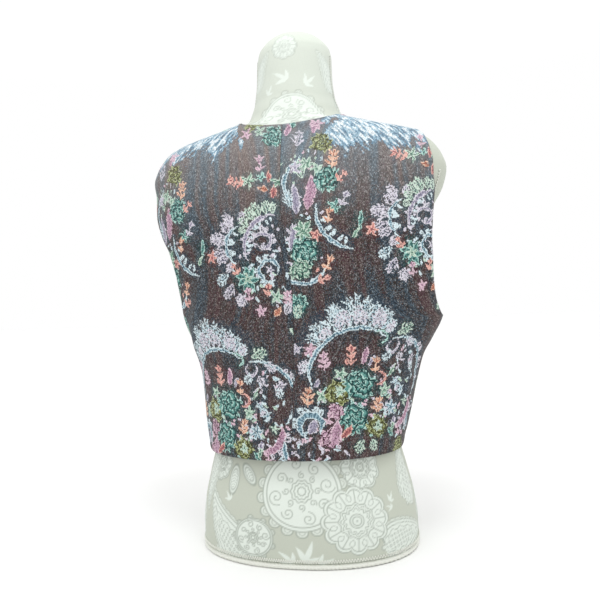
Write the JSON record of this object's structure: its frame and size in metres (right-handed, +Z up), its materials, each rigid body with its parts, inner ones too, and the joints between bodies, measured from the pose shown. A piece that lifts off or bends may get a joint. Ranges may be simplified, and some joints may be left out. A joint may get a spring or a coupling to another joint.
{
  "type": "corset vest on a dress form",
  "caption": "Sleeveless cropped vest in floral jacquard, worn on a limbless cloth-covered dress form that stands on its flat base.",
  "frame": {"origin": "centre of the dress form's flat base, on the surface that it stands on", "axes": "+Z up from the base to the neck's domed top, -Y towards the wearer's front, +X towards the wearer's left side"},
  "size_m": [0.3812, 0.2337, 0.662],
  "materials": {
    "form_cover": "printed cotton",
    "cord": "twisted cotton",
    "jacquard": "woven jacquard",
    "button": "satin"
  },
  "bodies": {
    "root": {"dress_form": "form_cover", "base_cord": "cord", "back_left": "jacquard", "back_right": "jacquard", "front_left": "jacquard", "front_right": "jacquard", "button_1": "button", "button_2": "button", "button_3": "button", "button_4": "button", "button_5": "button"}
  },
  "joints": []
}
